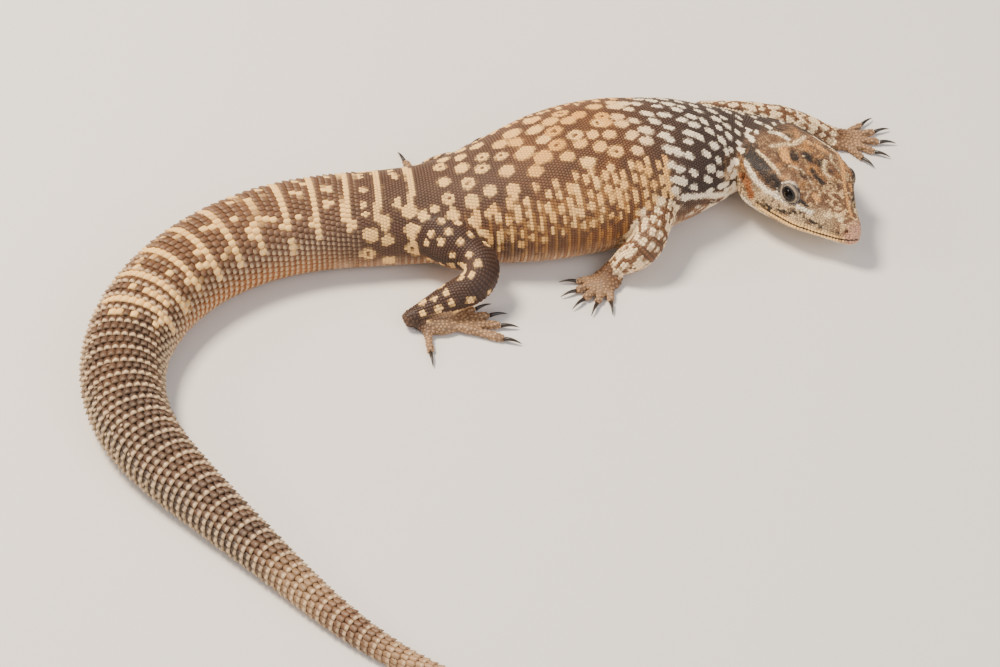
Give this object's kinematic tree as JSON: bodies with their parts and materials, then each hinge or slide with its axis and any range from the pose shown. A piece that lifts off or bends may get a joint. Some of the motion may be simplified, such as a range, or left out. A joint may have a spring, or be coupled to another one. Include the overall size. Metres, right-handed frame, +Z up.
{
  "type": "monitor lizard",
  "caption": "Life-size spiny-tailed monitor lizard at rest: stout body, head turned aside and slightly raised, legs bent and spread, long curved tail ringed with keeled scutes.",
  "frame": {"origin": "on the floor, under the middle of the whole animal's bounding box", "axes": "+Z up; +X from the tail's root towards the head, across the picture; +Y away from the side that is seen first, which is the animal's right side"},
  "size_m": [0.2423, 0.2339, 0.034],
  "materials": {
    "scaled_skin": "fine granular scales, dull, brown with cream and yellow spots",
    "keeled_tail_skin": "keeled scutes in whorls, dull, brown and cream bands",
    "dark_eye": "wet gloss, near black",
    "dark_horn": "smooth horn, satin"
  },
  "bodies": {
    "root": {"head": "scaled_skin", "eye_left": "dark_eye", "eye_right": "dark_eye", "neck": "scaled_skin", "torso": "scaled_skin", "tail_1": "keeled_tail_skin", "tail_2": "keeled_tail_skin", "tail_3": "keeled_tail_skin", "tail_4": "keeled_tail_skin", "tail_5": "keeled_tail_skin", "tail_6": "keeled_tail_skin", "upper_arm_left": "scaled_skin", "forearm_left": "scaled_skin", "hand_left": "scaled_skin", "thigh_left": "scaled_skin", "shank_left": "scaled_skin", "foot_left": "scaled_skin", "upper_arm_right": "scaled_skin", "forearm_right": "scaled_skin", "hand_right": "scaled_skin", "thigh_right": "scaled_skin", "shank_right": "scaled_skin", "foot_right": "scaled_skin", "claw_hand_left_1": "dark_horn", "claw_hand_left_2": "dark_horn", "claw_hand_left_3": "dark_horn", "claw_hand_left_4": "dark_horn", "claw_hand_left_5": "dark_horn", "claw_hand_right_1": "dark_horn", "claw_hand_right_2": "dark_horn", "claw_hand_right_3": "dark_horn", "claw_hand_right_4": "dark_horn", "claw_hand_right_5": "dark_horn", "claw_foot_left_1": "dark_horn", "claw_foot_left_2": "dark_horn", "claw_foot_left_3": "dark_horn", "claw_foot_left_4": "dark_horn", "claw_foot_left_5": "dark_horn", "claw_foot_right_1": "dark_horn", "claw_foot_right_2": "dark_horn", "claw_foot_right_3": "dark_horn", "claw_foot_right_4": "dark_horn", "claw_foot_right_5": "dark_horn"}
  },
  "joints": []
}
